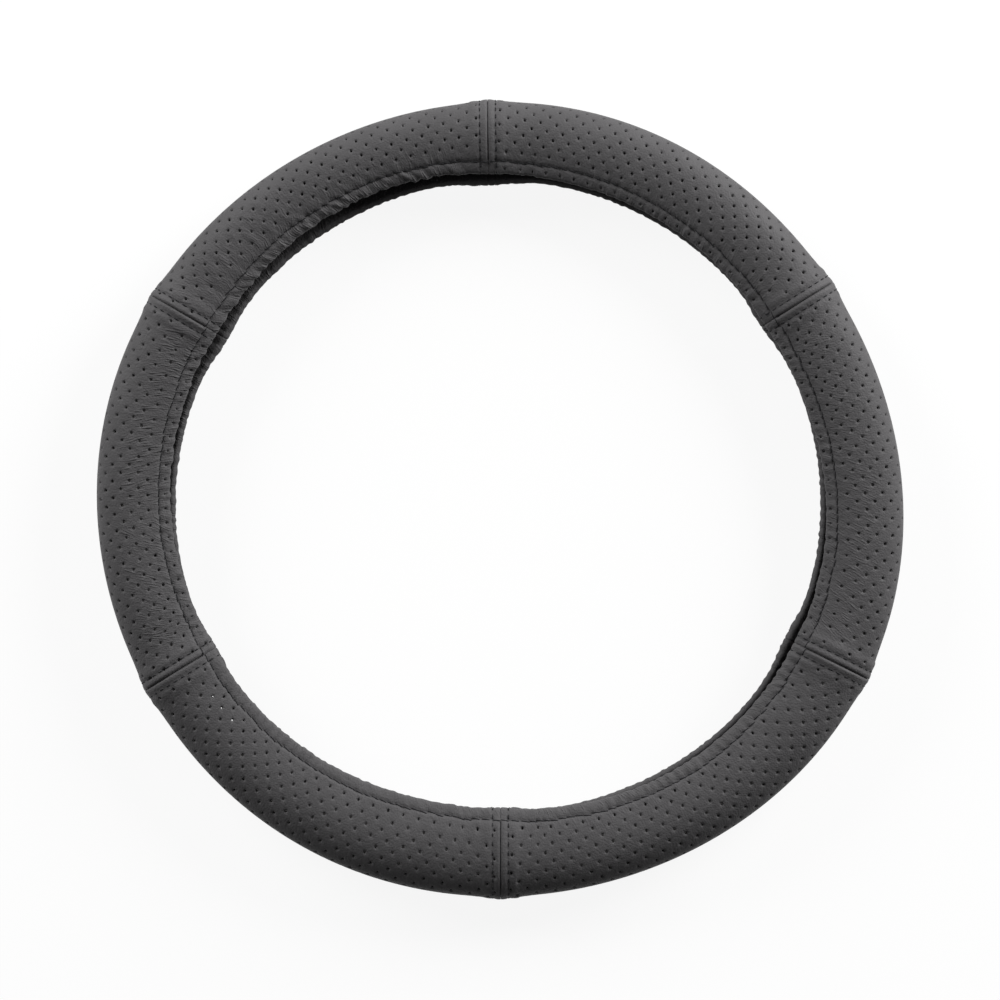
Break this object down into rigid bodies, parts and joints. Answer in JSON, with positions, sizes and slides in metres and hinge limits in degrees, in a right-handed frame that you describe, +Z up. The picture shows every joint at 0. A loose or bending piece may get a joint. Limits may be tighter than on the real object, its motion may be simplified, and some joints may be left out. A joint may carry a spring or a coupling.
{
  "type": "steering wheel cover",
  "caption": "Stretch-on steering wheel cover: a soft ring of perforated leather panels with a C section and elastic hems, which is pulled over a car's wheel rim.",
  "frame": {"origin": "centre of the ring on the plane that its rear flap lies on", "axes": "+Z up, along the ring's axis, out of the front side; +X to the right and +Y to the top of the ring as seen from the front"},
  "size_m": [0.3849, 0.382, 0.029],
  "materials": {
    "leather": "matt perforated full grain leather",
    "elastic": "braided elastic band"
  },
  "bodies": {
    "root": {"leather_panel_upper_right": "leather", "leather_panel_upper_left": "leather", "leather_panel_left": "leather", "leather_panel_lower_left": "leather", "leather_panel_lower_right": "leather", "leather_panel_right": "leather", "front_elastic": "elastic", "rear_elastic": "elastic"}
  },
  "joints": []
}
